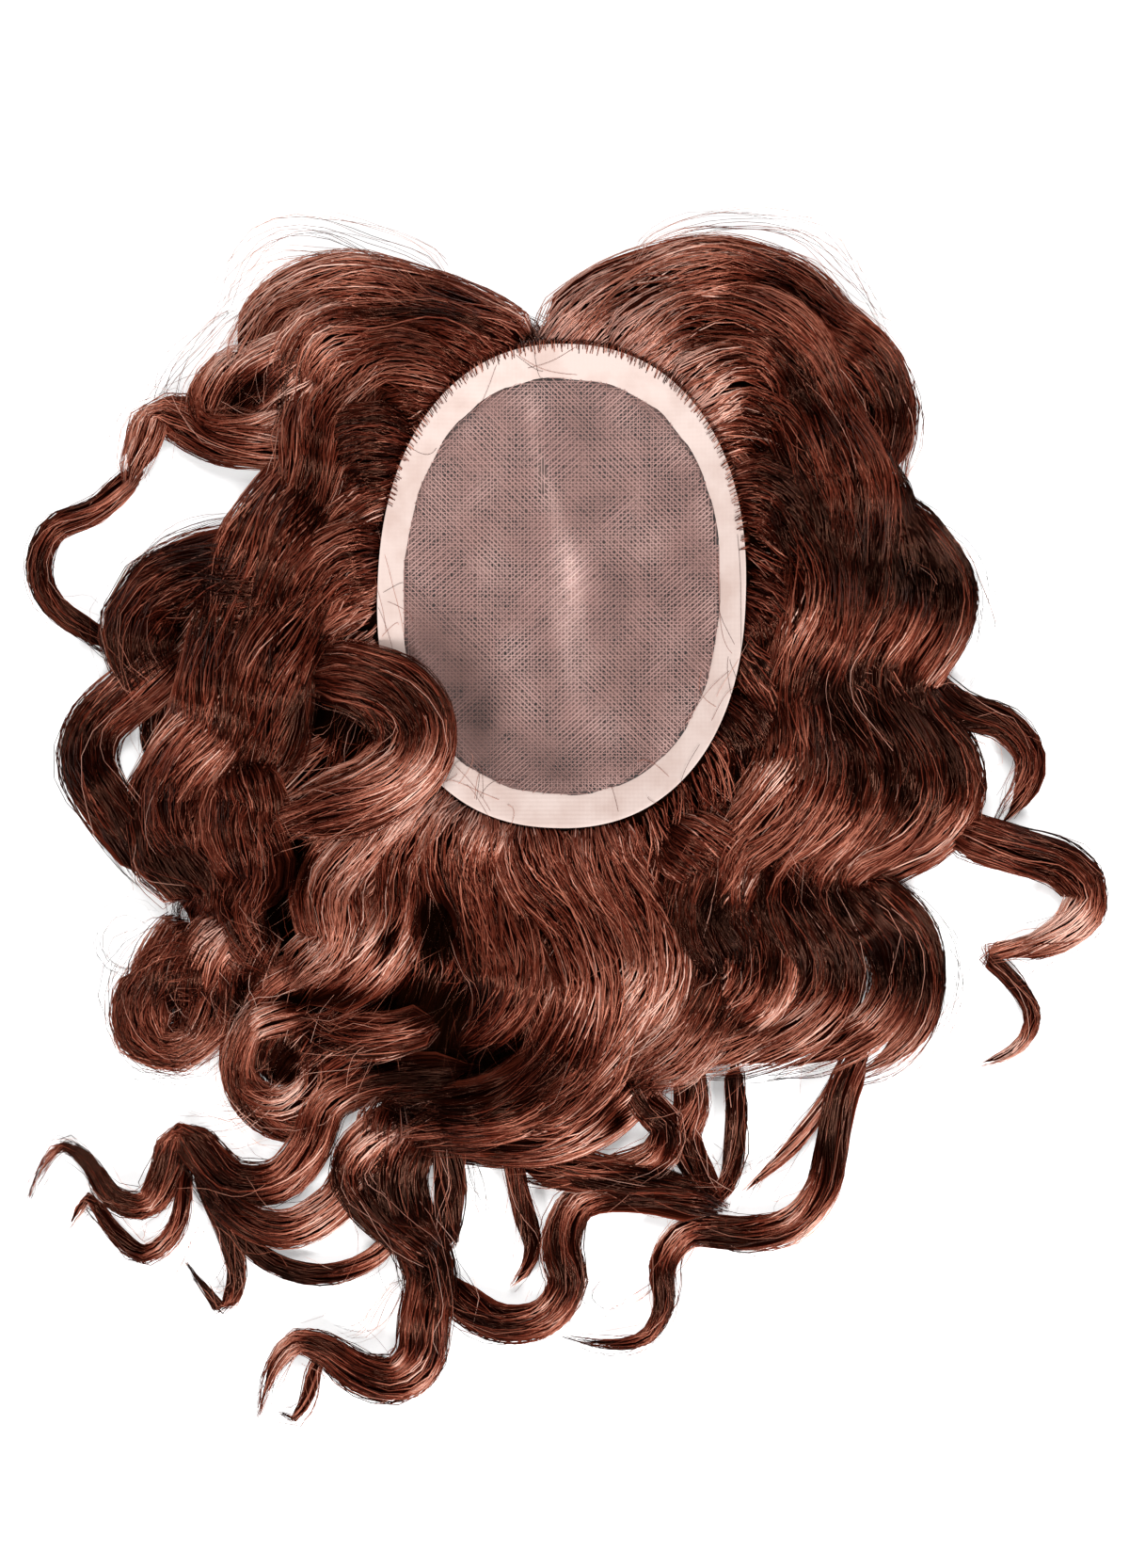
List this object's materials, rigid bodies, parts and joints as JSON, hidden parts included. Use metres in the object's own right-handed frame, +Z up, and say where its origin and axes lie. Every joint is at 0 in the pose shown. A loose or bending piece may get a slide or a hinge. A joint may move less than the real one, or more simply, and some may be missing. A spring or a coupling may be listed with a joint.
{
  "type": "hair topper",
  "caption": "Hair topper lying hair side down: an oval net base in a pale skin-like band, with long wavy auburn locks spread around it.",
  "frame": {"origin": "middle of the underside of the whole box, on the floor that the hair lies on", "axes": "+Y towards the front edge of the base, +Z up out of the scalp side of the base, +X to the right seen from above"},
  "size_m": [0.416, 0.4564, 0.0514],
  "materials": {
    "brown_net": "matt",
    "pale_film": "satin",
    "auburn_hair": "silky"
  },
  "bodies": {
    "root": {"mesh_panel": "brown_net", "skin_band": "pale_film", "hair": "auburn_hair"}
  },
  "joints": []
}
